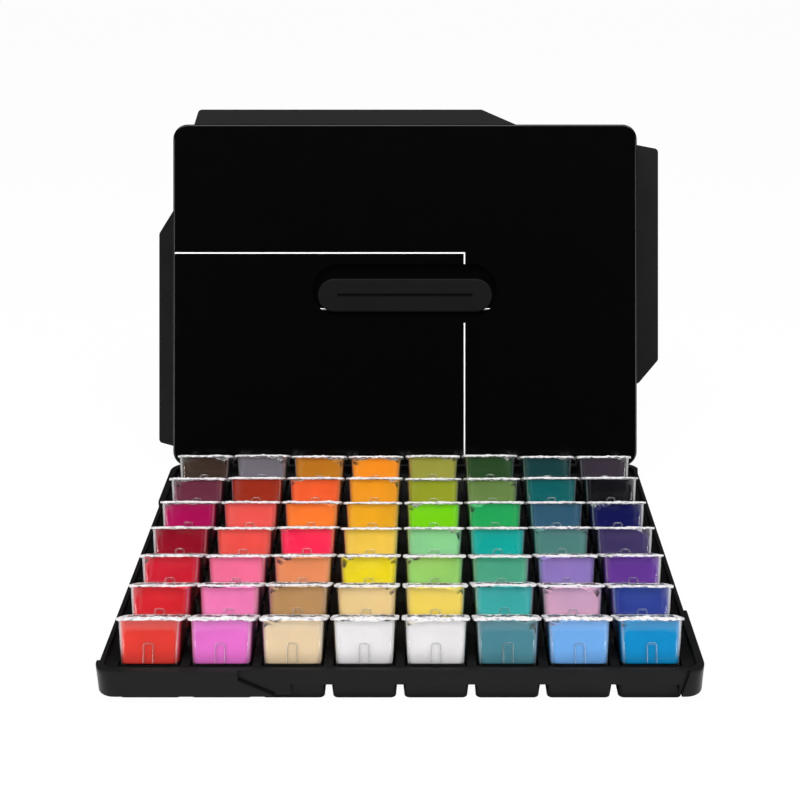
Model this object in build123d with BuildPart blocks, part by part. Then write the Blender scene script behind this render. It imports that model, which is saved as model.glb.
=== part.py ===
"""Paint box: a low tray of clear paint cups and a deep lid that lifts off.

Millimetres, +Z up, the viewer at -Y. The origin is on the table, under the middle
of the whole object with the lid leaning behind the tray.
"""

import os
from math import cos, radians, sin, sqrt, tan

from build123d import *

# Grid of cups, which all lean back in their wells
columns = 8
rows = 7
column_pitch = 44.9
row_pitch = 37.1
cup_lean_degrees = 30.0

# Cup of clear plastic
cup_height = 29.3
cup_base_width = 37.0
cup_base_depth = 27.6
cup_draft = 1.5
cup_corner = 5.0
cup_wall = 0.8
cup_floor = 1.0
cup_foot_round = 1.2
flange_thickness = 1.0
flange_overhang = 1.35
arch_width = 7.0
arch_height = 14.5
arch_line = 1.1
arch_relief = 0.45
arch_foot = 2.0

# Paint and the torn foil that stays on the flange
paint_below_lip = 3.0
paint_gap = 0.05
foil_thickness = 0.3

# Tray
tray_width = 380.0
tray_depth = 280.0
tray_height = 24.0
tray_corner = 12.0
wall_thickness = 5.0
skirt_lift = 5.5
band_height = 10.9
floor_drop = 3.7
floor_thickness = 2.4
first_cup_front = 10.2
cup_front_rise = 1.0
well_clearance = 0.4
well_side_clearance = 0.25
rest_gap = 0.3
foot_split = 2.2
foot_draft = 4.8
foot_corner = 5.0
foot_wall = 2.1
rim_round = 0.8

# Lid
lid_depth = 41.0
lid_skin = 2.2
lid_wall = 2.4
lid_rim_thickness = 5.2
lid_rim_height = 8.0
lid_edge_round = 1.6
lid_foot_drop = 2.5
lean_degrees = 24.5

# Snap flaps and their hinges
hinge_rise = 2.4
barrel_radius = 1.7
pin_radius = 0.8
running_gap = 0.05
moving_gap = 0.3
flap_thickness = 2.0
flap_inset = 0.1
flap_width = 26.0
flap_start_slant = 5.0
flap_corner = 3.5
chamfer_drop = 17.0
hook_height = 2.0
hook_reach = 2.0
hook_start_margin = 10.0
hook_end_margin = 5.0
lug_width = 7.0
lug_margin = 12.0
long_flap = dict(length=279.0, chamfer=32.0, lugs=5)
short_flap = dict(length=204.0, chamfer=20.0, lugs=4)
flap_starts = dict(top=8.0, right=8.0, bottom=11.0, left=13.0)
flap_openings = dict(top=67.0, right=89.0, bottom=-13.0, left=60.0)

# Carry handle and its recess in the lid
handle_length = 143.0
handle_width = 27.4
handle_thickness = 3.4
handle_drop = 0.3
handle_round = 1.5
groove_length = 111.0
groove_width = 2.8
groove_depth = 1.0
recess_depth = 5.5
recess_below = 3.7
recess_above = 11.8
recess_side = 4.0
recess_wall = 1.6
handle_pin_radius = 1.0
handle_pin_edge = 2.3
handle_pin_grip = 9.0
handle_pin_anchor = 6.0
handle_pin_block = 4.0

# Sizes that follow from the ones above
cup_top_width = cup_base_width + 2 * cup_draft
cup_top_depth = cup_base_depth + 2 * cup_draft
flange_width = cup_top_width + 2 * flange_overhang
flange_depth = cup_top_depth + 2 * flange_overhang
cup_lean = radians(cup_lean_degrees)
cup_slope = cup_draft / cup_height
floor_top = tray_height - floor_drop
foot_top = floor_top - floor_thickness
hinge_depth = lid_depth - hinge_rise
axis_inset = barrel_radius + flap_inset
notch_depth = axis_inset + barrel_radius + moving_gap
notch_rise = barrel_radius + moving_gap
recess_inset = flap_thickness + moving_gap
lean = radians(lean_degrees)

# The lid's rounded lower front edge leans on the tray's back wall, just under its rim.
# Its upper back corner and the open top flap are what reaches furthest back.
lid_height = tray_depth
lid_foot_back = lid_edge_round * (cos(lean) + sin(lean) - 1) - rest_gap
opening = radians(flap_openings["top"])
flap_back = flap_width * (cos(opening) * cos(lean) + sin(opening) * sin(lean))
reach_back = tray_depth - lid_foot_back + lid_height * sin(lean) + hinge_depth * cos(lean) + flap_back
front_y = -reach_back / 2
back_y = front_y + tray_depth
lid_foot_y = back_y - lid_foot_back
lid_foot_z = tray_height - lid_foot_drop

column_x = [(i - (columns - 1) / 2) * column_pitch for i in range(columns)]
tray_centre_y = front_y + tray_depth / 2


def in_row(row, back, up):
    """Point in the side view of a row's cups: back across the cup's base, up its axis."""
    y = front_y + first_cup_front + row * row_pitch
    z = floor_top + cup_front_rise
    back += cup_base_depth / 2
    return (y + back * cos(cup_lean) + up * sin(cup_lean), z - back * sin(cup_lean) + up * cos(cup_lean))


def well_profile(row, drop):
    """Foot of a row's well where its sides meet the floor, and its lowest point, in side view."""
    low_y, low_z = in_row(row, cup_base_depth / 2 + well_clearance, -rest_gap)
    rise = floor_top - low_z
    wall_run = (sin(cup_lean) + cup_slope * cos(cup_lean)) / (cos(cup_lean) - cup_slope * sin(cup_lean))
    front = (low_y - rise / tan(cup_lean), floor_top - drop)
    back = (low_y + rise * wall_run, floor_top - drop)
    return front, (low_y, low_z - drop), back


# The lid's face where it leans, and where it lies when the box is closed
leaning_face = Plane(
    origin=(0, lid_foot_y, lid_foot_z), x_dir=(1, 0, 0), z_dir=(0, -cos(lean), sin(lean))
)
closed_face = Plane(origin=(0, front_y, tray_height + lid_depth), x_dir=(1, 0, 0), z_dir=(0, 0, 1))

# Corner that each flap starts from, and the way it runs, going round like a pinwheel
half_width = tray_width / 2
flap_sides = dict(
    top=dict(corner=(-half_width, lid_height), run=(1, 0), **long_flap),
    right=dict(corner=(half_width, lid_height), run=(0, -1), **short_flap),
    bottom=dict(corner=(half_width, 0), run=(-1, 0), **long_flap),
    left=dict(corner=(-half_width, 0), run=(0, 1), **short_flap),
)


def side_plane(face, side):
    """Plane on a side wall: x along the flap, y away from the face, z outwards."""
    u, v = side["corner"]
    run_u, run_v = side["run"]
    return Plane(
        origin=face.from_local_coords((u, v, 0)),
        x_dir=face.x_dir * run_u + face.y_dir * run_v,
        z_dir=face.x_dir * -run_v + face.y_dir * run_u,
    )


def hinge_plane(wall, degrees):
    """Plane on a flap's hinge axis: x along it, y along the flap, z off its outer side."""
    turn = radians(degrees)
    return Plane(
        origin=wall.from_local_coords((0, hinge_depth, -axis_inset)),
        x_dir=wall.x_dir,
        z_dir=wall.z_dir * cos(turn) - wall.y_dir * sin(turn),
    )


def across(plane, distance):
    """Plane square to the given plane's x axis, at a distance along it."""
    origin = plane.origin + plane.x_dir * distance
    return Plane(origin=origin, x_dir=plane.y_dir, z_dir=plane.x_dir)


def lug_places(name):
    """Where the lid's hinge lugs stand along a flap."""
    side = flap_sides[name]
    first = flap_starts[name] + lug_margin
    last = flap_starts[name] + side["length"] - lug_margin
    step = (last - first) / (side["lugs"] - 1)
    return [first + k * step for k in range(side["lugs"])]


def flap_outline(name, top, foot, slack):
    """Corner points of a flap, or with slack of the relief that it closes into."""
    side = flap_sides[name]
    start = flap_starts[name] - slack
    end = flap_starts[name] + side["length"] + slack
    tip_start = start + flap_start_slant
    tip_end = end - side["chamfer"]
    return [(start, top), (end, top), (end, foot - chamfer_drop), (tip_end, foot), (tip_start, foot)]


# Tray: one thin moulding. Each column of cups has a long hollow foot, and its floor is
# folded into wells that the cups lean back in. The rim band carries the closed lid, and
# each side has a relief that a flap closes into.
with BuildPart() as tray:
    with BuildSketch(Plane.XY.offset(skirt_lift)):
        with Locations((0, tray_centre_y)):
            RectangleRounded(tray_width, tray_depth, tray_corner)
    extrude(amount=tray_height - skirt_lift)
    fillet(tray.edges().group_by(Axis.Z)[-1], rim_round)
    with BuildSketch(Plane.XY.offset(floor_top)):
        with Locations((0, tray_centre_y)):
            RectangleRounded(
                tray_width - 2 * wall_thickness, tray_depth - 2 * wall_thickness, tray_corner - wall_thickness
            )
    extrude(amount=floor_drop, mode=Mode.SUBTRACT)
    with BuildSketch(Plane.XY.offset(skirt_lift)):
        with Locations((0, tray_centre_y)):
            RectangleRounded(
                tray_width - 2 * wall_thickness, tray_depth - 2 * wall_thickness, tray_corner - wall_thickness
            )
    extrude(amount=foot_top - skirt_lift, mode=Mode.SUBTRACT)
    for name, side in flap_sides.items():
        wall = side_plane(closed_face, side)
        with BuildSketch(wall.offset(-recess_inset)):
            with BuildLine():
                Polyline(*flap_outline(name, lid_depth, hinge_depth + flap_width, moving_gap), close=True)
            make_face()
        extrude(amount=recess_inset, mode=Mode.SUBTRACT)
        start = flap_starts[name] + flap_start_slant
        length = side["length"] - side["chamfer"] - flap_start_slant
        with BuildSketch(wall.offset(-wall_thickness)):
            with Locations((start + length / 2, lid_depth + (tray_height + band_height) / 2)):
                Rectangle(length, tray_height - band_height)
        extrude(amount=wall_thickness, mode=Mode.SUBTRACT)
    with BuildSketch(Plane(origin=(0, tray_centre_y, foot_top), z_dir=(0, 0, -1))):
        with GridLocations(column_pitch, row_pitch, columns, 1):
            RectangleRounded(column_pitch - foot_split, tray_depth - 2 * wall_thickness, foot_corner)
    extrude(amount=foot_top, taper=foot_draft)
    well_low_z = well_profile(0, 0)[1][1]
    cup_in_well = (floor_top - well_low_z) / cos(cup_lean)
    well_width = cup_base_width + 2 * (cup_slope * cup_in_well + well_side_clearance)
    foot_inset = foot_wall + foot_top * tan(radians(foot_draft))
    hole_width = column_pitch - foot_split - 2 * foot_inset
    hole_front = front_y + wall_thickness + foot_inset
    hole_back = front_y + tray_depth - wall_thickness - foot_inset
    for x in column_x:
        with BuildSketch(Plane.YZ.offset(x - hole_width / 2)):
            with BuildLine():
                folds = [point for row in range(rows) for point in well_profile(row, floor_thickness)]
                Polyline(
                    (hole_front, 0),
                    (hole_front, foot_top),
                    *folds,
                    (hole_back, foot_top),
                    (hole_back, 0),
                    close=True,
                )
            make_face()
        extrude(amount=hole_width, mode=Mode.SUBTRACT)
        for row in range(rows):
            with BuildSketch(Plane.YZ.offset(x - well_width / 2)):
                with BuildLine():
                    Polyline(*well_profile(row, 0), close=True)
                make_face()
            extrude(amount=well_width, mode=Mode.SUBTRACT)

# Cup: thin clear shell, wider at the mouth, with a flange and a small raised arch in front
cup_side = sqrt(cup_height**2 + cup_draft**2)
cup_front = Plane(
    origin=(0, -cup_base_depth / 2, 0),
    x_dir=(1, 0, 0),
    z_dir=(0, -cup_height / cup_side, -cup_draft / cup_side),
)
with BuildPart() as cup:
    with BuildSketch(Plane.XY):
        RectangleRounded(cup_base_width, cup_base_depth, cup_corner)
    with BuildSketch(Plane.XY.offset(cup_height)):
        RectangleRounded(cup_top_width, cup_top_depth, cup_corner)
    loft(ruled=True)
    fillet(cup.edges().group_by(Axis.Z)[0], cup_foot_round)
    with BuildSketch(cup_front):
        with BuildLine():
            Polyline(
                (-arch_width / 2, arch_foot),
                (-arch_width / 2, arch_height - arch_line),
                (-arch_width / 2 + arch_line, arch_height),
                (arch_width / 2 - arch_line, arch_height),
                (arch_width / 2, arch_height - arch_line),
                (arch_width / 2, arch_foot),
                (arch_width / 2 - arch_line, arch_foot),
                (arch_width / 2 - arch_line, arch_height - arch_line),
                (-arch_width / 2 + arch_line, arch_height - arch_line),
                (-arch_width / 2 + arch_line, arch_foot),
                close=True,
            )
        make_face()
    extrude(amount=arch_relief)
    with BuildSketch(Plane.XY.offset(cup_height - flange_thickness)):
        RectangleRounded(flange_width, flange_depth, cup_corner + flange_overhang)
    extrude(amount=flange_thickness)
    inner_base = 2 * (cup_wall - cup_floor * cup_slope)
    with BuildSketch(Plane.XY.offset(cup_floor)):
        RectangleRounded(cup_base_width - inner_base, cup_base_depth - inner_base, cup_corner - cup_wall)
    with BuildSketch(Plane.XY.offset(cup_height)):
        RectangleRounded(
            cup_top_width - 2 * cup_wall, cup_top_depth - 2 * cup_wall, cup_corner - cup_wall
        )
    loft(ruled=True, mode=Mode.SUBTRACT)

# Paint: one block that fills its cup to just under the lip
paint_base = inner_base + 2 * (paint_gap - paint_gap * cup_slope)
paint_top = 2 * (cup_wall + paint_gap + paint_below_lip * cup_slope)
with BuildPart() as paint:
    with BuildSketch(Plane.XY.offset(cup_floor + paint_gap)):
        RectangleRounded(cup_base_width - paint_base, cup_base_depth - paint_base, cup_corner - cup_wall)
    with BuildSketch(Plane.XY.offset(cup_height - paint_below_lip)):
        RectangleRounded(cup_top_width - paint_top, cup_top_depth - paint_top, cup_corner - cup_wall)
    loft(ruled=True)

# Foil: what is left of the torn seal, a thin frame on the flange
with BuildPart() as foil:
    with BuildSketch(Plane.XY.offset(cup_height)):
        RectangleRounded(flange_width, flange_depth, cup_corner + flange_overhang)
        RectangleRounded(
            cup_top_width - 2 * cup_wall,
            cup_top_depth - 2 * cup_wall,
            cup_corner - cup_wall,
            mode=Mode.SUBTRACT,
        )
    extrude(amount=foil_thickness)


def cups_at(piece, row, places_x):
    """Copies of a cup piece in one row of the tray, leaning back in their wells."""
    y, z = in_row(row, 0, 0)
    with BuildPart() as copies:
        with Locations(*[Location((x, y, z), (-cup_lean_degrees, 0, 0)) for x in places_x]):
            add(piece)
    return copies.part


cup_pieces = dict(cup=cup.part, paint=paint.part, foil=foil.part)
cup_nodes = {}
for kind, piece in cup_pieces.items():
    for number, x in enumerate(column_x, start=1):
        cup_nodes[f"front_{kind}_{number}"] = cups_at(piece, 0, [x])
    for number in range(2, rows + 1):
        cup_nodes[f"row_{number}_{kind}s"] = cups_at(piece, number - 1, column_x)

# Lid: a deep pan, open at the rim, with a recess for the handle in its face and
# a notch along each side for that side's flap, broken by lugs that hold the hinge pin
handle_axis_v = lid_height / 2 - handle_width / 2 + handle_pin_edge
handle_axis_w = -handle_drop - handle_thickness / 2
recess_length = handle_length + 2 * recess_side
recess_width = handle_width + recess_below + recess_above
recess_v = lid_height / 2 + (recess_above - recess_below) / 2
recess_offset = recess_v - handle_axis_v
recess_half_chord = (recess_length - recess_width) / 2 + sqrt((recess_width / 2) ** 2 - recess_offset**2)
handle_offset = lid_height / 2 - handle_axis_v
handle_half_chord = (handle_length - handle_width) / 2 + sqrt((handle_width / 2) ** 2 - handle_offset**2)
pin_inner = handle_half_chord - handle_pin_grip
pin_outer = recess_half_chord + handle_pin_anchor

with BuildPart() as lid:
    with BuildSketch(leaning_face.offset(-lid_depth)):
        with Locations((0, lid_height / 2)):
            RectangleRounded(tray_width, lid_height, tray_corner)
    extrude(amount=lid_depth)
    fillet(lid.faces().sort_by(Axis(leaning_face.origin, leaning_face.z_dir))[-1].edges(), lid_edge_round)
    inside_depth = lid_depth - lid_skin
    with BuildSketch(leaning_face.offset(-lid_depth)):
        with Locations((0, lid_height / 2)):
            RectangleRounded(
                tray_width - 2 * lid_rim_thickness,
                lid_height - 2 * lid_rim_thickness,
                tray_corner - lid_rim_thickness,
            )
    extrude(amount=inside_depth, mode=Mode.SUBTRACT)
    with BuildSketch(leaning_face.offset(-lid_depth + lid_rim_height)):
        with Locations((0, lid_height / 2)):
            RectangleRounded(
                tray_width - 2 * lid_wall, lid_height - 2 * lid_wall, tray_corner - lid_wall
            )
    extrude(amount=inside_depth - lid_rim_height, mode=Mode.SUBTRACT)
    with BuildSketch(leaning_face.offset(-recess_depth - recess_wall)):
        with Locations((0, recess_v)):
            SlotOverall(recess_length + 2 * recess_wall, recess_width + 2 * recess_wall)
        with Locations((0, handle_axis_v)):
            Rectangle(2 * pin_outer, handle_pin_block + 2 * recess_wall)
    extrude(amount=recess_depth + recess_wall - lid_skin / 2)
    with BuildSketch(leaning_face.offset(-recess_depth)):
        with Locations((0, recess_v)):
            SlotOverall(recess_length, recess_width)
    extrude(amount=recess_depth, mode=Mode.SUBTRACT)
    with BuildSketch(across(leaning_face, -pin_outer)):
        with Locations((handle_axis_v, handle_axis_w)):
            Circle(handle_pin_radius + running_gap)
    extrude(amount=2 * pin_outer, mode=Mode.SUBTRACT)
    for name, side in flap_sides.items():
        wall = side_plane(leaning_face, side)
        start = flap_starts[name] - moving_gap
        length = side["length"] + 2 * moving_gap
        notch_middle = hinge_depth + (hinge_rise - notch_rise) / 2
        with BuildSketch(wall.offset(-notch_depth)):
            with Locations((start + length / 2, notch_middle)):
                Rectangle(length, hinge_rise + notch_rise)
            with Locations(*[(x, notch_middle) for x in lug_places(name)]):
                Rectangle(lug_width, hinge_rise + notch_rise, mode=Mode.SUBTRACT)
        extrude(amount=notch_depth, mode=Mode.SUBTRACT)
        hinge = hinge_plane(wall, 0)
        bore_start = lug_places(name)[0] - lug_width
        bore_end = lug_places(name)[-1] + lug_width
        with BuildSketch(across(hinge, bore_start)):
            Circle(pin_radius + running_gap)
        extrude(amount=bore_end - bore_start, mode=Mode.SUBTRACT)

# Hinge pins: one straight rod through the lugs and the flap's barrels on each side
hinge_pins = {}
for name, side in flap_sides.items():
    hinge = hinge_plane(side_plane(leaning_face, side), 0)
    first = lug_places(name)[0] - lug_width / 2
    last = lug_places(name)[-1] + lug_width / 2
    with BuildPart() as hinge_pin:
        with BuildSketch(across(hinge, first)):
            Circle(pin_radius)
        extrude(amount=last - first)
    hinge_pins[f"hinge_pin_{name}"] = hinge_pin.part

# Flaps: thin plates with a long slanted corner, barrels that turn on the pin,
# and a hook along the inside that snaps under the tray's band
flaps = {}
for name, side in flap_sides.items():
    hinge = hinge_plane(side_plane(leaning_face, side), flap_openings[name])
    lugs = lug_places(name)
    corners = flap_outline(name, 0, flap_width, 0)
    with BuildPart() as flap:
        with BuildSketch(hinge.offset(barrel_radius - flap_thickness)):
            with BuildLine():
                Polyline(*corners, close=True)
            make_face()
        extrude(amount=flap_thickness)
        tip = flap.edges().filter_by(Axis((0, 0, 0), hinge.z_dir)).sort_by(Axis(hinge.origin, hinge.y_dir))
        fillet(tip[-3:], flap_corner)
        with BuildSketch(hinge.offset(-moving_gap - hook_reach)):
            hook_start = flap_starts[name] + hook_start_margin
            hook_length = side["length"] - side["chamfer"] - hook_start_margin - hook_end_margin
            hook_top = hinge_rise + band_height + moving_gap
            with Locations((hook_start + hook_length / 2, hook_top + hook_height / 2)):
                Rectangle(hook_length, hook_height)
        extrude(amount=hook_reach + flap_thickness / 2)
        for left, right in zip(lugs[:-1], lugs[1:]):
            barrel_start = left + lug_width / 2 + moving_gap
            with BuildSketch(across(hinge, barrel_start)):
                Circle(barrel_radius)
            extrude(amount=right - left - lug_width - 2 * moving_gap)
        with BuildSketch(hinge.offset(-barrel_radius)):
            lug_clear = sqrt(axis_inset**2 + hinge_rise**2) + moving_gap
            with Locations(*[(x, 0) for x in lugs]):
                Rectangle(lug_width + 2 * moving_gap, 2 * lug_clear)
        extrude(amount=2 * barrel_radius, mode=Mode.SUBTRACT)
        with BuildSketch(across(hinge, lugs[0])):
            Circle(pin_radius + running_gap)
        extrude(amount=lugs[-1] - lugs[0], mode=Mode.SUBTRACT)
    flaps[f"flap_{name}"] = flap.part

# Handle: a flat grip that lies in the recess and swings up about its lower edge
with BuildPart() as handle:
    with BuildSketch(leaning_face.offset(-handle_drop - handle_thickness)):
        with Locations((0, lid_height / 2)):
            SlotOverall(handle_length, handle_width)
    extrude(amount=handle_thickness)
    outline_edges = handle.faces().filter_by(Axis((0, 0, 0), leaning_face.z_dir)).edges()
    fillet(outline_edges, handle_round)
    with BuildSketch(leaning_face.offset(-handle_drop - groove_depth)):
        with Locations((0, lid_height / 2)):
            SlotOverall(groove_length, groove_width)
    extrude(amount=groove_depth, mode=Mode.SUBTRACT)
    for way in (-1, 1):
        with BuildSketch(across(leaning_face, way * pin_inner)):
            with Locations((handle_axis_v, handle_axis_w)):
                Circle(handle_pin_radius + running_gap)
        extrude(amount=way * (pin_outer - pin_inner), mode=Mode.SUBTRACT)

with BuildPart() as handle_pins:
    for way in (-1, 1):
        with BuildSketch(across(leaning_face, way * (pin_inner + running_gap))):
            with Locations((handle_axis_v, handle_axis_w)):
                Circle(handle_pin_radius)
        extrude(amount=way * (pin_outer - pin_inner - 2 * running_gap))

os.makedirs("parts", exist_ok=True)
pieces = dict(tray=tray.part, lid_shell=lid.part, handle=handle.part, handle_pins=handle_pins.part)
pieces.update(cup_nodes)
pieces.update(hinge_pins)
pieces.update(flaps)
for name, piece in pieces.items():
    piece.label = name
    export_step(piece, f"parts/{name}.step")
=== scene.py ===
from math import cos, radians, sin

import bpy
import numpy as np
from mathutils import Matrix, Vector


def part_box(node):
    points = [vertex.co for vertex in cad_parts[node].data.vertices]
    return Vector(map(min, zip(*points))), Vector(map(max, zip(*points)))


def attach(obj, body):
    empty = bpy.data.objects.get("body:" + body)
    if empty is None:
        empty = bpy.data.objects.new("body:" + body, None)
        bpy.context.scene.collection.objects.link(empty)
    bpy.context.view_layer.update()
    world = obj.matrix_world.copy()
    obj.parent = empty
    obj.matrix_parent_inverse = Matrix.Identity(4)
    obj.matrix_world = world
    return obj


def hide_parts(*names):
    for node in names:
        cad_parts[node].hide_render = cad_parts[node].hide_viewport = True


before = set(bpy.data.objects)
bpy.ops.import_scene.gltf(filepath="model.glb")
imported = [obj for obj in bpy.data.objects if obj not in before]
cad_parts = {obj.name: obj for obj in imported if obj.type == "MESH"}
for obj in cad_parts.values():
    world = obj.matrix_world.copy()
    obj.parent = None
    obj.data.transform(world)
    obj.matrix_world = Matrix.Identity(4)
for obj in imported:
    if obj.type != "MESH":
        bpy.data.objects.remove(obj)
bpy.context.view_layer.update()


# Studio: a pale floor under a white sky, one wide softbox above the front edge of the
# table, and a tall strip light on each side. The camera looks 24.5 degrees down.
class Field:
    """A number that changes over a surface. Arithmetic on it adds Math nodes."""

    def __init__(self, finish, socket):
        self.finish = finish
        self.socket = socket

    def math(self, operation, first, second):
        return self.finish.node("ShaderNodeMath", {"operation": operation}, {0: first, 1: second})

    def __add__(self, other):
        return self.math("ADD", self, other)

    def __radd__(self, other):
        return self.math("ADD", other, self)

    def __sub__(self, other):
        return self.math("SUBTRACT", self, other)

    def __rsub__(self, other):
        return self.math("SUBTRACT", other, self)

    def __mul__(self, other):
        return self.math("MULTIPLY", self, other)

    def __rmul__(self, other):
        return self.math("MULTIPLY", other, self)

    def __gt__(self, other):
        return self.math("GREATER_THAN", self, other)

    def __lt__(self, other):
        return self.math("LESS_THAN", self, other)


class Finish:
    """The nodes of one surface, or of the sky."""

    def __init__(self, owner):
        owner.use_nodes = True
        self.owner = owner
        self.tree = owner.node_tree
        self.tree.nodes.clear()

    def node(self, kind, settings=None, inputs=None, output=0):
        """Adds a node, makes its settings, fills or links its sockets, and gives one output."""
        made = self.tree.nodes.new(kind)
        for key, value in (settings or {}).items():
            setattr(made, key, value)
        for key, value in (inputs or {}).items():
            if isinstance(value, Field):
                self.tree.links.new(value.socket, made.inputs[key])
            else:
                made.inputs[key].default_value = value
        return Field(self, made.outputs[output]) if made.outputs else None


scene = bpy.context.scene
scene.view_settings.view_transform = "Standard"

looks_down = 24.5
camera_data = bpy.data.cameras.new("camera")
camera_data.lens = 56.8
camera_data.shift_x = -0.026
camera = bpy.data.objects.new("camera", camera_data)
camera.location = (0.01295, -0.8632, 0.4993)
camera.rotation_euler = (radians(90 - looks_down), 0, 0)
scene.collection.objects.link(camera)
scene.camera = camera

pure_white = (1, 1, 1, 1)
room_light = 0.2
less_in_gloss = 0.175
world = scene.world or bpy.data.worlds.new("studio")
scene.world = world
sky = Finish(world)
seen = sky.node("ShaderNodeLightPath", output="Is Camera Ray")
mirrored = sky.node("ShaderNodeLightPath", output="Is Glossy Ray")
white_sky = sky.node("ShaderNodeBackground", inputs={"Color": pure_white, "Strength": 1.0})
strength = room_light - mirrored * less_in_gloss
room = sky.node("ShaderNodeBackground", inputs={"Color": pure_white, "Strength": strength})
around = sky.node("ShaderNodeMixShader", inputs={0: seen, 1: room, 2: white_sky})
sky.node("ShaderNodeOutputWorld", inputs={"Surface": around})


def lamp(name, place, target, width, height, power):
    """Adds one softbox that faces a point."""
    data = bpy.data.lights.new(name, "AREA")
    data.shape = "RECTANGLE"
    data.size = width
    data.size_y = height
    data.energy = power
    softbox = bpy.data.objects.new(name, data)
    softbox.location = place
    softbox.rotation_euler = (Vector(target) - Vector(place)).to_track_quat("-Z", "Y").to_euler()
    scene.collection.objects.link(softbox)


on_tray = (0.0, -0.05, 0.05)
lamp("softbox_top", (0.0, -0.3, 1.4), on_tray, width=1.6, height=0.7, power=23.0)
on_lid = (0.0, -0.05, 0.1)
for name, place in (("strip_left", (-1.0, -0.85, 0.55)), ("strip_right", (1.0, -0.85, 0.55))):
    lamp(name, place, on_lid, width=0.3, height=1.0, power=7.0)

paper_glow = 0.97
floor_reach = 4
floor_finish = Finish(bpy.data.materials.new("floor_paper"))
floor_seen = floor_finish.node("ShaderNodeLightPath", output="Is Camera Ray")
paper = floor_finish.node("ShaderNodeBsdfDiffuse", inputs={"Color": (0.9, 0.9, 0.9, 1)})
glow = floor_finish.node("ShaderNodeEmission", inputs={"Color": pure_white, "Strength": 1.0})
sockets = {0: floor_seen * paper_glow, 1: paper, 2: glow}
paper_mix = floor_finish.node("ShaderNodeMixShader", inputs=sockets)
floor_finish.node("ShaderNodeOutputMaterial", inputs={"Surface": paper_mix})
signs = [(-1, -1), (1, -1), (1, 1), (-1, 1)]
floor_corners = [(x * floor_reach, y * floor_reach, 0) for x, y in signs]
floor_mesh = bpy.data.meshes.new("floor")
floor_mesh.from_pydata(floor_corners, [], [(0, 1, 2, 3)])
floor_mesh.materials.append(floor_finish.owner)
floor = bpy.data.objects.new("floor", floor_mesh)
scene.collection.objects.link(floor)


# Tray: one black moulding. Its rim band and feet are satin from the mould, and the
# folded floor between the cups is polished, so that the paint shows in it.
def grain(finish, scale, detail=3.0):
    """Cloudy pattern, from 0 to 1, with so many waves to the metre."""
    point = finish.node("ShaderNodeTexCoord", output="Object")
    sockets = {"Vector": point, "Scale": scale, "Detail": detail}
    return finish.node("ShaderNodeTexNoise", inputs=sockets)


def along(finish, axis):
    """The point's distance along one axis of the whole box, in metres."""
    point = finish.node("ShaderNodeTexCoord", output="Object")
    return finish.node("ShaderNodeSeparateXYZ", inputs={0: point}, output="XYZ".index(axis))


def blend(finish, share, first, second):
    """Colour between two others, which sockets 6 and 7 of the node take."""
    sockets = {0: share, 6: first, 7: second}
    return finish.node("ShaderNodeMix", {"data_type": "RGBA"}, sockets, output=2)


def uneven(finish, strength, distance, height):
    """Fine relief of a surface, from a pattern that stands for its height."""
    sockets = {"Strength": strength, "Distance": distance, "Height": height}
    return finish.node("ShaderNodeBump", inputs=sockets)


def moulded_black(name, dark, pale, texture_depth):
    """Black plastic with the fine texture of its mould and a few faint rubbed patches."""
    finish = Finish(bpy.data.materials.new(name))
    rubbed = grain(finish, scale=45.0, detail=4.0)
    fine = grain(finish, scale=2600.0, detail=2.0)
    surface = uneven(finish, strength=0.35, distance=texture_depth, height=fine)
    bluish = 1.02
    colour = blend(finish, rubbed, (dark, dark, dark, 1), (pale, pale, pale * bluish, 1))
    return finish, colour, rubbed, surface


def finished(finish, colour, rough, surface, **more):
    """Puts the surface together and gives the material."""
    sockets = {"Base Color": colour, "Roughness": rough, "Normal": surface}
    sockets.update({key.replace("_", " "): value for key, value in more.items()})
    shader = finish.node("ShaderNodeBsdfPrincipled", inputs=sockets)
    finish.node("ShaderNodeOutputMaterial", inputs={"Surface": shader})
    return finish.owner


def dress(name, material):
    """Gives a node of the frame its finish."""
    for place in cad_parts[name].material_slots:
        place.material = material


tray_satin, tray_rubbed, floor_smoother = 0.45, 0.1, 0.24
floor_height = 0.0212
finish, colour, rubbed, surface = moulded_black(
    "tray_moulding", dark=0.005, pale=0.009, texture_depth=0.00006
)
on_floor = along(finish, "Z") < floor_height
tray_rough = tray_satin + rubbed * tray_rubbed - on_floor * floor_smoother
dress("tray", finished(finish, colour, tray_rough, surface, Specular_IOR_Level=0.1))


# Cups: clear moulded plastic, wider at the mouth, with a flat flange and a small arch
# pressed out of the front. They lean back 30 degrees in the wells of the tray.
columns = 8
rows = 7
cup_base = (37.0, 27.6)
cup_height = 29.3
cup_slope = 1.5 / cup_height
cup_corner = 5.0
cup_wall = 0.8
flange_width = 42.7
flange_depth = 33.3
flange_corner = 6.35
column_pitch = 44.9
row_pitch = 37.1
first_row = 10.2
cup_lean = radians(30)
cup_foot_z = 21.3
tray_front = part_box("tray")[0].y * 1000


def outline(width, depth, corner, arc_steps=6, side_steps=3):
    """Rounded rectangle, seen from above, as an array of points round it."""
    points = []
    signs = [(1, 1), (-1, 1), (-1, -1), (1, -1)]
    for k, (sx, sy) in enumerate(signs):
        turns = np.radians(np.linspace(90 * k, 90 * k + 90, arc_steps + 1))
        arc = np.stack([np.cos(turns), np.sin(turns)], 1) * corner
        points.append(arc + np.array([sx * (width / 2 - corner), sy * (depth / 2 - corner)]))
    ring = []
    for k, arc in enumerate(points):
        following = points[(k + 1) % 4][0]
        share = np.arange(1, side_steps + 1)[:, None] / (side_steps + 1)
        ring += [arc, arc[-1] + (following - arc[-1]) * share]
    return np.concatenate(ring)


def raised(ring, heights):
    """Lifts a flat outline to its height, or to one height for each of its points."""
    return np.column_stack([ring, np.broadcast_to(heights, len(ring))])


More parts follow.
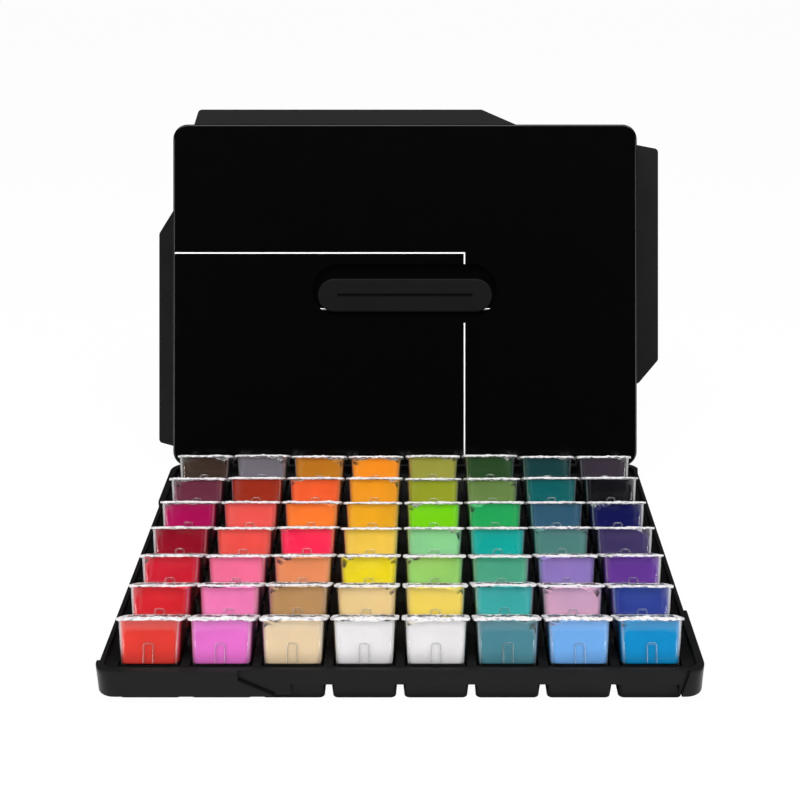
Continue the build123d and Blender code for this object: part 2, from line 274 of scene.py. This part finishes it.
def skin(rings, closed=False):
    """Points and faces of a surface through rings, capped at its ends or joined round."""
    count = len(rings[0])
    points = np.concatenate(rings)
    faces = []
    pairs = [(k, k + 1) for k in range(len(rings) - 1)]
    if closed:
        pairs.append((len(rings) - 1, 0))
    for low, high in pairs:
        for k in range(count):
            after = (k + 1) % count
            below = (low * count + k, low * count + after)
            above = (high * count + after, high * count + k)
            faces.append(below + above)
    if not closed:
        faces.append(tuple(reversed(range(count))))
        faces.append(tuple(range(len(points) - count, len(points))))
    return points, faces


def cup_outline(inset, height, corner=cup_corner, **steps):
    """Outline of the cup's side at a height, moved inwards."""
    spread = 2 * (cup_slope * height - inset)
    return outline(cup_base[0] + spread, cup_base[1] + spread, corner - inset, **steps)


def cup_shell():
    """The whole cup, from how far in and how high each ring of it lies."""
    foot_round = 1.2
    middle = 14.0
    outside = [(0, middle), (0, 27.9), (-0.3, 28.3)]
    flange = [(0.25, 28.3), (0, 28.5), (0, 29.1), (0.25, cup_height)]
    inside = [(-0.25, cup_height), (0, 29.0), (0, middle), (0, 2.2), (0.4, 1.3), (1.2, 1.0)]
    rings = []
    for turn in (90, 55, 25, 0):
        inset = foot_round * (1 - cos(radians(turn)))
        height = foot_round * (1 - sin(radians(turn)))
        rings.append(raised(cup_outline(inset, height), height))
    for inset, height in outside:
        rings.append(raised(cup_outline(inset, height), height))
    for trim, height in flange:
        size = (flange_width - 2 * trim, flange_depth - 2 * trim, flange_corner - trim)
        rings.append(raised(outline(*size), height))
    for inset, height in inside:
        rings.append(raised(cup_outline(cup_wall + inset, height), height))
    return skin(rings)


def arch_ridge():
    """Low rounded ridge that stands out of the cup's front in the form of an arch."""
    half, top, halfway, foot, turn, ease = 2.95, 13.95, 8.0, 2.0, 1.2, 0.35
    line = [(-half, foot), (-half, halfway), (-half, top - turn), (-half + ease, top - ease)]
    line += [(-half + turn, top), (half - turn, top)]
    line += [(half - ease, top - ease), (half, top - turn), (half, halfway), (half, foot)]
    line = np.array(line)
    way = np.gradient(line, axis=0)
    way /= np.linalg.norm(way, axis=1)[:, None]
    side = np.column_stack([way[:, 1], -way[:, 0]])
    section = [(-0.55, -0.15), (-0.48, 0.3), (-0.2, 0.45)]
    section += [(-reach, out) for reach, out in reversed(section)]
    rings = []
    for point, across in zip(line, side):
        ring = []
        for reach, out in section:
            x = point[0] + across[0] * reach
            z = point[1] + across[1] * reach
            ring.append((x, -cup_base[1] / 2 - cup_slope * z - out, z))
        rings.append(np.array(ring))
    return skin(rings)


def together(shapes):
    """One set of points and faces from several."""
    points, faces = [], []
    start = 0
    for shape_points, shape_faces in shapes:
        points.append(shape_points)
        faces += [tuple(start + k for k in face) for face in shape_faces]
        start += len(shape_points)
    return np.concatenate(points), faces


class Arrangement(Finish):
    """The nodes that stand shapes in the tray."""

    def __init__(self, name, sizes):
        self.tree = bpy.data.node_groups.new(name, "GeometryNodeTree")
        add = self.tree.interface.new_socket
        for label, kind in sizes.items():
            add(label, in_out="INPUT", socket_type="NodeSocket" + kind)
        add("Geometry", in_out="OUTPUT", socket_type="NodeSocketGeometry")

    def given(self, label):
        """One of the named sizes that the tree is given."""
        return self.node("NodeGroupInput", output=label)


def cups_in_a_row():
    """Tree that stands shapes side by side in their wells, each a little high and askew."""
    sizes = {"Shapes": "Collection", "Count": "Int", "First Foot": "Vector", "Pitch": "Float"}
    sizes.update({"Lean": "Float", "Foot To Middle": "Float", "Largest Lift": "Float"})
    sizes.update({"Largest Turn": "Float", "Seed": "Int", "Finish": "Material"})
    row = Arrangement("cups_in_a_row", sizes)
    number = row.node("GeometryNodeInputIndex")

    def by_chance(low, high, seed):
        sockets = {2: low, 3: high, "ID": number, "Seed": seed}
        return row.node("FunctionNodeRandomValue", {"data_type": "FLOAT"}, sockets, output=1)

    other_seed = row.given("Seed") + 50
    lift = by_chance(0.0, row.given("Largest Lift"), row.given("Seed"))
    turn = by_chance(row.given("Largest Turn") * -1, row.given("Largest Turn"), other_seed)
    step = row.node("ShaderNodeCombineXYZ", inputs={"X": row.given("Pitch")})
    lean = row.node("ShaderNodeCombineXYZ", inputs={"X": row.given("Lean") * -1})
    sockets = {"Y": row.given("Foot To Middle"), "Z": lift}
    seat = row.node("ShaderNodeCombineXYZ", inputs=sockets)
    askew = row.node("ShaderNodeCombineXYZ", inputs={"Z": turn})
    sockets = {"Count": row.given("Count"), "Start Location": row.given("First Foot")}
    feet = row.node("GeometryNodeMeshLine", inputs=sockets | {"Offset": step})
    sockets = {"Collection": row.given("Shapes"), "Separate Children": True}
    stock = row.node("GeometryNodeCollectionInfo", inputs=sockets | {"Reset Children": True})
    sockets = {"Points": feet, "Instance": stock, "Pick Instance": True}
    sockets.update({"Instance Index": number, "Rotation": lean})
    stood = row.node("GeometryNodeInstanceOnPoints", inputs=sockets)
    sockets = {"Instances": stood, "Translation": seat, "Local Space": True}
    seated = row.node("GeometryNodeTranslateInstances", inputs=sockets)
    sockets = {"Instances": seated, "Rotation": askew, "Local Space": True}
    turned = row.node("GeometryNodeRotateInstances", inputs=sockets)
    whole = row.node("GeometryNodeRealizeInstances", inputs={"Geometry": turned})
    sockets = {"Geometry": whole, "Material": row.given("Finish")}
    done = row.node("GeometryNodeSetMaterial", inputs=sockets)
    row.node("NodeGroupOutput", inputs={"Geometry": done})
    return row.tree


row_tree = cups_in_a_row()
middle_column = (columns - 1) / 2
largest_lift = 0.0011
largest_turn = radians(0.6)
first_seed = 300


def upright(name, points, faces, **marks):
    """One shape in its cup's frame, from millimetres, with a number or colour by point."""
    mesh = bpy.data.meshes.new(name)
    mesh.from_pydata([tuple(point) for point in points / 1000], [], faces)
    for label, values in marks.items():
        kind, field = ("FLOAT_COLOR", "color") if values.ndim == 2 else ("FLOAT", "value")
        stored = mesh.attributes.new(label, kind, "POINT")
        stored.data.foreach_set(field, values.astype(np.float32).ravel())
    return bpy.data.objects.new(name, mesh)


def in_wells(name, shapes, row, column, count, material, sharp=40):
    """One piece of shapes in a row's wells, from one column on. The front row sits true."""
    stock = bpy.data.collections.new("stock")
    for shape in shapes:
        stock.objects.link(shape)
    made = bpy.data.objects.new(name, bpy.data.meshes.new(name))
    scene.collection.objects.link(made)
    across = (column - middle_column) * column_pitch
    foot = (across, tray_front + first_row + row * row_pitch, cup_foot_z)
    loose = 0.0 if row == 0 else 1.0
    sizes = {"Shapes": stock, "Count": count, "First Foot": tuple(size / 1000 for size in foot)}
    sizes.update({"Pitch": column_pitch / 1000, "Lean": cup_lean})
    sizes.update({"Foot To Middle": cup_base[1] / 2000, "Seed": first_seed + row})
    sizes.update({"Largest Lift": loose * largest_lift, "Largest Turn": loose * largest_turn})
    sizes.update({"Finish": material})
    modifier = made.modifiers.new("row", "NODES")
    modifier.node_group = row_tree
    for socket in row_tree.interface.items_tree:
        if socket.name in sizes:
            modifier[socket.identifier] = sizes[socket.name]
    graph = bpy.context.evaluated_depsgraph_get()
    mesh = bpy.data.meshes.new_from_object(
        made.evaluated_get(graph), preserve_all_data_layers=True, depsgraph=graph
    )
    made.modifiers.clear()
    made.data = mesh
    for shape in shapes:
        bpy.data.meshes.remove(shape.data)
    bpy.data.collections.remove(stock)
    mesh.polygons.foreach_set("use_smooth", [True] * len(mesh.polygons))
    mesh.set_sharp_from_angle(angle=radians(sharp))
    return made


def fit(made, body, node):
    """Makes a piece ride on its body and stand for its node, whose own shape is hidden."""
    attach(made, body)
    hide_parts(node)


def clear_plastic():
    """Thin clear plastic: mostly seen through, with gloss that grows at a slant."""
    finish = Finish(bpy.data.materials.new("clear_plastic"))
    waves = grain(finish, scale=160.0, detail=2.0)
    ripple = uneven(finish, strength=0.25, distance=0.0002, height=waves)
    through = finish.node("ShaderNodeBsdfTransparent", inputs={"Color": (0.985, 0.99, 0.99, 1)})
    thick = finish.node("ShaderNodeAttribute", {"attribute_name": "thick"}, output="Fac")
    sockets = {"Base Color": (0.9, 0.9, 0.9, 1), "Metallic": 1.0, "Normal": ripple}
    wall_rough, thick_rougher = 0.1, 0.4
    sockets.update({"Roughness": thick * thick_rougher + wall_rough})
    gloss = finish.node("ShaderNodeBsdfPrincipled", inputs=sockets)
    slant = finish.node("ShaderNodeLayerWeight", inputs={"Blend": 0.5}, output="Facing")
    gloss_at_slant, gloss_if_thick, least_gloss = 0.62, 0.26, 0.02
    share = slant * slant * gloss_at_slant + thick * gloss_if_thick + least_gloss
    mixed = finish.node("ShaderNodeMixShader", inputs={0: share, 1: through, 2: gloss})
    finish.node("ShaderNodeOutputMaterial", inputs={"Surface": mixed})
    return finish.owner


def thick_places(shell, arch):
    """Where the wall is thick and catches light: its corners, the foot's edge, the arch."""
    quarter_points = 10
    middle_of_corner = 3
    number = np.arange(len(shell))
    ring, place = number // (4 * quarter_points), number % quarter_points
    foot_edge = (ring == 1) | (ring == 2)
    wall = (ring >= 3) & (ring <= 5)
    thick = np.where(wall & (place == middle_of_corner), 1.0, 0.0)
    thick[foot_edge] = 0.6
    return np.concatenate([thick, np.full(len(arch), 0.45)])


cup_material = clear_plastic()
shell, arch = cup_shell(), arch_ridge()
cup_points, cup_faces = together([shell, arch])
cup_thick = thick_places(shell[0], arch[0])
for column in range(columns):
    one_cup = upright("cup", cup_points, cup_faces, thick=cup_thick)
    made = in_wells(f"clear_cup_{column + 1}", [one_cup], 0, column, 1, cup_material)
    fit(made, f"front_cup_{column + 1}", f"front_cup_{column + 1}")
for row in range(1, rows):
    one_cup = upright("cup", cup_points, cup_faces, thick=cup_thick)
    made = in_wells(f"clear_cups_row_{row + 1}", [one_cup], row, 0, columns, cup_material)
    fit(made, "tray", f"row_{row + 1}_cups")


# Paint: opaque, thick and wet. It fills each cup to just under the lip, clings to the
# walls in a low rim, and has sunk away from some of the upper corners.
def srgb(red, green, blue):
    """A colour as it is seen, from 0 to 255, as the linear colour that light needs."""
    seen_as = np.array([red, green, blue]) / 255
    return tuple(np.where(seen_as > 0.04045, ((seen_as + 0.055) / 1.055) ** 2.4, seen_as / 12.92))


vermilion, orchid, cream, white = (226, 62, 52), (232, 116, 205), (234, 208, 172), (232, 228, 229)
grey_teal, sky_blue, cerulean = (78, 136, 150), (116, 174, 234), (8, 142, 200)
red, pink, tan_brown = (214, 36, 48), (244, 134, 188), (192, 148, 98)
naples, naples_yellow, ultramarine = (240, 208, 146), (240, 212, 92), (52, 66, 152)
turquoise_green, pale_pink, lilac = (66, 180, 176), (222, 170, 196), (146, 124, 194)
carmine, rose_pink, salmon, lemon = (208, 30, 52), (246, 120, 160), (240, 150, 100), (240, 220, 30)
light_green, sea_green, purple = (152, 208, 112), (82, 172, 138), (106, 56, 152)
crimson, coral_red, hot_rose = (150, 6, 34), (238, 88, 76), (252, 44, 90)
warm_yellow, mint, turquoise = (244, 204, 84), (146, 210, 152), (10, 172, 164)
grey_green, dark_violet, magenta = (82, 136, 126), (66, 54, 100), (176, 0, 88)
coral, orange, golden = (236, 94, 86), (246, 132, 48), (236, 172, 32)
yellow_green, emerald, steel_blue, navy = (126, 212, 8), (36, 170, 92), (50, 94, 120), (6, 12, 84)
maroon, sienna, orange_red = (108, 46, 66), (158, 46, 22), (238, 100, 48)
orange_yellow, olive_green, grass_olive = (240, 160, 32), (158, 162, 40), (112, 136, 74)
dark_teal, ink, dark_brown, mid_grey = (4, 100, 102), (10, 10, 15), (62, 46, 36), (116, 112, 122)
ochre, deep_orange, olive = (190, 124, 28), (244, 150, 32), (160, 158, 66)
dark_green, deep_teal, aubergine = (40, 74, 36), (20, 64, 66), (58, 48, 60)

paint_rows = [
    [vermilion, orchid, cream, white, white, grey_teal, sky_blue, cerulean],
    [red, pink, tan_brown, naples, naples_yellow, turquoise_green, pale_pink, ultramarine],
    [carmine, rose_pink, salmon, lemon, light_green, sea_green, lilac, purple],
    [crimson, coral_red, hot_rose, warm_yellow, mint, turquoise, grey_green, dark_violet],
    [magenta, coral, orange, golden, yellow_green, emerald, steel_blue, navy],
    [maroon, sienna, orange_red, orange_yellow, olive_green, grass_olive, dark_teal, ink],
    [dark_brown, mid_grey, ochre, deep_orange, olive, dark_green, deep_teal, aubergine],
]
front_slots = ["vermilion", "orchid_pink", "cream", "white"]
front_slots += ["zinc_white", "grey_teal", "sky_blue", "cerulean"]


def wet_paint():
    """Opaque paint in its cup's colour: dull against the plastic, wet where it lies open.
    Its colour carries painted shade, darker next to the wall where the paint has sunk.
    """
    finish = Finish(bpy.data.materials.new("wet_paint"))
    own = finish.node("ShaderNodeAttribute", {"attribute_name": "paint"}, output="Color")
    open_top = finish.node("ShaderNodeAttribute", {"attribute_name": "open_top"}, output="Fac")
    fine_cloud = grain(finish, scale=70.0, detail=4.0) * 0.22
    wide_cloud = grain(finish, scale=22.0, detail=2.0) * 0.16
    sockets = {0: own, "Scale": fine_cloud + wide_cloud + 0.80}
    colour = finish.node("ShaderNodeVectorMath", {"operation": "SCALE"}, sockets)
    lumps = uneven(finish, strength=0.3, distance=0.0004, height=grain(finish, scale=300.0))
    against_plastic, open_smoother, wet_coat = 0.55, 0.25, 0.6
    rough = against_plastic - open_top * open_smoother
    wet = {"Coat_Weight": open_top * wet_coat, "Coat_Roughness": 0.12}
    return finished(finish, colour, rough, lumps, **wet, Specular_IOR_Level=0.12)


def sunk_corners(chance, foot, row, column):
    """How far the paint has sunk at each point round the wall, more at the back corners."""
    corner_x, corner_y = 18, 13
    at_front, at_back = 0.34, 0.6
    sunk = np.zeros(len(foot))
    for sx in (-1, 1):
        for sy in (-1, 1):
            if chance.uniform() > (at_front if sy < 0 else at_back):
                continue
            depth = chance.uniform(2.5, 7.0)
            reach = chance.uniform(7.0, 13.0)
            away_x = (foot[:, 0] - sx * corner_x) / reach
            away_y = (foot[:, 1] - sy * corner_y) / reach
            sunk += depth * np.clip(1.1 - np.hypot(away_x, away_y), 0, 1)
    return sunk * (1 + 0.3 * np.sin(foot[:, 0] * 1.1 + foot[:, 1] * 0.7 + row + 2 * column))


def paint_fill(row, column):
    """The paint in one cup, in the cup's own frame."""
    chance = np.random.default_rng(500 + 10 * row + column)
    steps = {"arc_steps": 6, "side_steps": 14}
    from_wall = 0.06
    foot = cup_outline(cup_wall + from_wall, 0.0, **steps)
    mouth = cup_outline(cup_wall + from_wall, cup_height, **steps)
    count = len(foot)
    sunk = sunk_corners(chance, foot, row, column)
    ragged = np.abs(np.sin(foot[:, 0] * 0.9 + row * 2 + column))
    ragged = ragged + np.abs(np.sin(foot[:, 0] * 0.31 + row))
    fill_line = 28.3
    edge = fill_line - sunk - ragged * chance.uniform(0.1, 0.55)

    def wall_ring(heights, extra=0.0):
        """Outline of the paint at its heights, with its short sides drawn in by so much."""
        half_width = 18
        share = np.broadcast_to(heights, count) / cup_height
        flat = foot + (mouth - foot) * share[:, None]
        return raised(flat * (1 - extra / half_width), heights)

    wall_foot = 2.3
    rings = [wall_ring(1.1, 1.0), wall_ring(1.4, 0.35), wall_ring(wall_foot)]
    for share in (0.3, 0.6, 0.85):
        rings.append(wall_ring(wall_foot + (edge - wall_foot) * share))
    rings.append(wall_ring(edge))
    wall_rings = len(rings)
    level = 25.6
    sagging = np.minimum(level - sunk * 0.25, edge - 1.2)
    rings += [wall_ring(edge - 0.1, 0.8), wall_ring(edge - 0.9, 2.2), wall_ring(sagging, 5.0)]
    rings += [wall_ring(25.4, 10.0), wall_ring(level, 15.0)]
    open_top = np.repeat([0.0] * wall_rings + [1.0] * (len(rings) - wall_rings), count)
    # Painted shade: where the paint has sunk, its colour is darkened on the open rings by the
    # wall.
    shadow = np.clip(sunk / 2.0, 0, 0.85)
    rim_painted_shade = [1 - shadow, 1 - shadow, 1 - shadow * 0.25]
    painted_shade_factor = [np.ones(wall_rings * count), *rim_painted_shade, np.ones(2 * count)]
    return *skin(rings), open_top, np.concatenate(painted_shade_factor)


def one_fill(row, column):
    """The paint of one cup, with each point's colour and painted shade by the sunk corners."""
    points, faces, open_top, painted_shade_factor = paint_fill(row, column)
    own = np.array(srgb(*paint_rows[row][column])) * painted_shade_factor[:, None]
    shade = np.column_stack([own, np.ones(len(own))])
    return upright(f"fill_{column}", points, faces, paint=shade, open_top=open_top)


paint_material = wet_paint()
for column, slot in enumerate(front_slots):
    fill = one_fill(0, column)
    made = in_wells(f"paint_{column + 1}", [fill], 0, column, 1, paint_material, sharp=70)
    fit(made, f"front_cup_{column + 1}", f"front_paint_{column + 1}")
for row in range(1, rows):
    fills = [one_fill(row, column) for column in range(columns)]
    made = in_wells(f"paints_row_{row + 1}", fills, row, 0, columns, paint_material, sharp=70)
    fit(made, "tray", f"row_{row + 1}_paints")


# Foil: each cup was sealed with white coated foil. It has been torn out, and a ragged
# frame of it is still stuck to the flange and folds down over the edge.
def rough_line(chance, count, coarse, fine):
    """Uneven line round a closed edge, from coarse waves and fine nicks."""
    full_turn = 6.28
    line = np.zeros(count)
    for waves, size in ((5, coarse), (11, coarse * 0.7), (23, fine), (41, fine * 0.8)):
        turns = np.linspace(0, 2 * np.pi * waves, count, endpoint=False)
        line += size * np.sin(turns + chance.uniform(0, full_turn)) * chance.uniform(0.5, 1.0)
    return line + chance.normal(0, fine * 0.45, count)


def torn_foil(row, column):
    """The frame of foil on one cup, in the cup's own frame."""
    chance = np.random.default_rng(90 + 10 * row + column)
    steps = {"arc_steps": 7, "side_steps": 30}
    inner = cup_outline(cup_wall, cup_height, **steps)
    outer = outline(flange_width, flange_depth, flange_corner, **steps)
    count = len(outer)
    out = (outer - inner) / np.linalg.norm(outer - inner, axis=1)[:, None]
    half_width, half_depth, corner_reach = 21.3, 16.6, 5
    from_x, from_y = np.abs(outer[:, 0]) - half_width, np.abs(outer[:, 1]) - half_depth
    at_corner = np.clip(1 - np.hypot(from_x, from_y) / corner_reach, 0, 1)
    fold = 0.9 + rough_line(chance, count, 0.16, 0.2) + at_corner * chance.uniform(0, 1.3)
    least_fold, most_fold = 0.3, 2.4
    fold = np.clip(fold, least_fold, most_fold)
    flare = 0.15 + at_corner * chance.uniform(0.1, 0.5)
    torn = np.clip(0.5 + rough_line(chance, count, 0.5, 0.4), -0.2, 2.6)
    front = np.clip(-outer[:, 1] / half_depth, 0, 1) ** 2
    front_curl = 1.0 if row == 0 else 0.3
    curl = np.clip(rough_line(chance, count, 0.28, 0.2), -0.35, 1.1) + front * front_curl
    upper = [
        raised(outer + out * flare[:, None], cup_height - fold),
        raised(outer + out * 0.28, cup_height - 0.1),
        raised(outer + out * 0.08, cup_height + 0.26),
        raised((outer + inner) / 2, cup_height + 0.3 + np.clip(curl, 0, 0.3) * 0.4),
        raised(inner, cup_height + 0.28 + curl * 0.4),
        raised(inner - out * torn[:, None], cup_height + 0.22 + curl),
    ]
    under = [
        raised(inner - out * torn[:, None] * 0.96, cup_height + 0.08 + curl),
        raised(inner, cup_height + 0.14 + curl * 0.4),
        raised((outer + inner) / 2, cup_height + 0.04),
        raised(outer + out * 0.03, cup_height + 0.02),
        raised(outer + out * 0.08, cup_height - 0.1),
        raised(outer + out * (flare[:, None] - 0.12), cup_height - fold),
    ]
    return skin(upper + under, closed=True)


def coated_foil():
    """White coating that has cracked off along the folds and lets the aluminium show."""
    finish = Finish(bpy.data.materials.new("coated_foil"))
    cracks_from, cracks_to = 0.52, 0.64
    sockets = {0: grain(finish, scale=420.0, detail=5.0)}
    sockets.update({1: cracks_from, 2: cracks_to, 3: 0.0, 4: 1.0})
    bare = finish.node("ShaderNodeMapRange", {"clamp": True}, sockets)
    white_coating, bare_metal = (0.68, 0.66, 0.67, 1), (0.40, 0.40, 0.42, 1)
    coating_rough, metal_smoother, metal_share = 0.55, 0.2, 0.4
    colour = blend(finish, bare, white_coating, bare_metal)
    creased = uneven(finish, strength=0.6, distance=0.0004, height=grain(finish, scale=900.0))
    rough = coating_rough - bare * metal_smoother
    return finished(finish, colour, rough, creased, Metallic=bare * metal_share)


foil_material = coated_foil()
for column in range(columns):
    frame_of_foil = upright("foil", *torn_foil(0, column))
    made = in_wells(f"torn_foil_{column + 1}", [frame_of_foil], 0, column, 1, foil_material)
    fit(made, f"front_cup_{column + 1}", f"front_foil_{column + 1}")
for row in range(1, rows):
    frames = [upright(f"foil_{column}", *torn_foil(row, column)) for column in range(columns)]
    made = in_wells(f"torn_foils_row_{row + 1}", frames, row, 0, columns, foil_material)
    fit(made, "tray", f"row_{row + 1}_foils")


# Lid: a deep pan in high-gloss black, leaning back behind the tray with its face to the
# front. Two thin white printed lines cross the face and stop short of the handle.
lid_lean = radians(24.5)
lid_foot = (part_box("tray")[1].y - 0.00022, 0.0215)


def from_lid_foot(finish):
    """How far the point lies behind and above the lower edge of the lid's face."""
    return along(finish, "Y") - lid_foot[0], along(finish, "Z") - lid_foot[1]


def up_the_face(behind, above):
    """How far up the leaning face of the lid the point lies."""
    return behind * sin(lid_lean) + above * cos(lid_lean)


def between(value, low, high):
    """1 where a value lies between two limits."""
    return (value > low) * (value < high)


def about(value, centre, width):
    """1 where a value lies within a band."""
    return between(value, centre - width / 2, centre + width / 2)


print_width = 0.0011
across_v, down_u = 0.1745, 0.0487
across_from = -0.1885
face_bottom, recess_bottom, recess_top = 0.0060, 0.1172, 0.1636
face_front = -0.0004
lid_finish = Finish(bpy.data.materials.new("lid_gloss"))
lid_u = along(lid_finish, "X")
behind, above = from_lid_foot(lid_finish)
lid_v = up_the_face(behind, above)
lid_w = above * sin(lid_lean) - behind * cos(lid_lean)
across_line = about(lid_v, across_v, print_width)
across_line = across_line * between(lid_u, across_from, down_u + print_width / 2)
off_recess = between(lid_v, recess_top, across_v) + between(lid_v, face_bottom, recess_bottom)
down_line = about(lid_u, down_u, print_width) * off_recess
printed = (across_line + down_line) * (lid_w > face_front)
gloss_black, print_white = (0.0008, 0.0008, 0.0009, 1), (0.82, 0.82, 0.82, 1)
lid_colour = blend(lid_finish, printed, gloss_black, print_white)
lid_waves = grain(lid_finish, scale=18.0, detail=1.0)
lid_surface = uneven(lid_finish, strength=0.05, distance=0.0005, height=lid_waves)
wiped = grain(lid_finish, scale=60.0, detail=4.0)
gloss_rough, wiped_duller, print_duller = 0.1, 0.06, 0.25
lid_rough = gloss_rough + wiped * wiped_duller + printed * print_duller
lid_material = finished(lid_finish, lid_colour, lid_rough, lid_surface, Specular_IOR_Level=0.35)
dress("lid_shell", lid_material)


# Handle: a satin black grip with a sunk groove, which swings up on two short pins.
# The bottom of the groove is painted darker as shade, and is duller.
handle_satin, rubbed_duller, groove_duller = 0.45, 0.12, 0.35
groove_v = 0.140
groove_width = 0.0018
groove_length = 0.1106
finish, colour, rubbed, surface = moulded_black(
    "handle_moulding", dark=0.0035, pale=0.0050, texture_depth=0.00005
)
handle_v = up_the_face(*from_lid_foot(finish))
groove = about(along(finish, "X"), 0, groove_length) * about(handle_v, groove_v, groove_width)
# Painted shade: the bottom of the groove is darkened in the handle's colour.
colour = blend(finish, groove, colour, (0.0006, 0.0006, 0.0006, 1))
handle_rough = handle_satin + rubbed * rubbed_duller + groove * groove_duller
dress("handle", finished(finish, colour, handle_rough, surface, Specular_IOR_Level=0.08))


# Snap flaps: thin charcoal plates along the four sides of the lid, duller than the lid
# and a little paler in the patches that have been rubbed.
flap_satin = 0.48
finish, colour, rubbed, surface = moulded_black(
    "flap_moulding", dark=0.006, pale=0.011, texture_depth=0.00008
)
flap_rough = flap_satin + rubbed * rubbed_duller
flap_material = finished(finish, colour, flap_rough, surface, Specular_IOR_Level=0.08)
for side in ("top", "right", "bottom", "left"):
    dress(f"flap_{side}", flap_material)


# Pins: short lengths of drawn steel wire that the flaps and the handle turn on. The
# drawing has left them bright, with a fine uneven sheen.
steel = Finish(bpy.data.materials.new("drawn_steel"))
drawn = grain(steel, scale=1500.0)
dark_steel, pale_steel = (0.42, 0.42, 0.43, 1), (0.60, 0.60, 0.61, 1)
steel_colour = blend(steel, drawn, dark_steel, pale_steel)
steel_surface = uneven(steel, strength=0.2, distance=0.00003, height=drawn)
steel_smooth, drawn_duller = 0.25, 0.15
steel_rough = steel_smooth + drawn * drawn_duller
pin_material = finished(steel, steel_colour, steel_rough, steel_surface, Metallic=1.0)
dress("handle_pins", pin_material)
for side in ("top", "right", "bottom", "left"):
    dress(f"hinge_pin_{side}", pin_material)
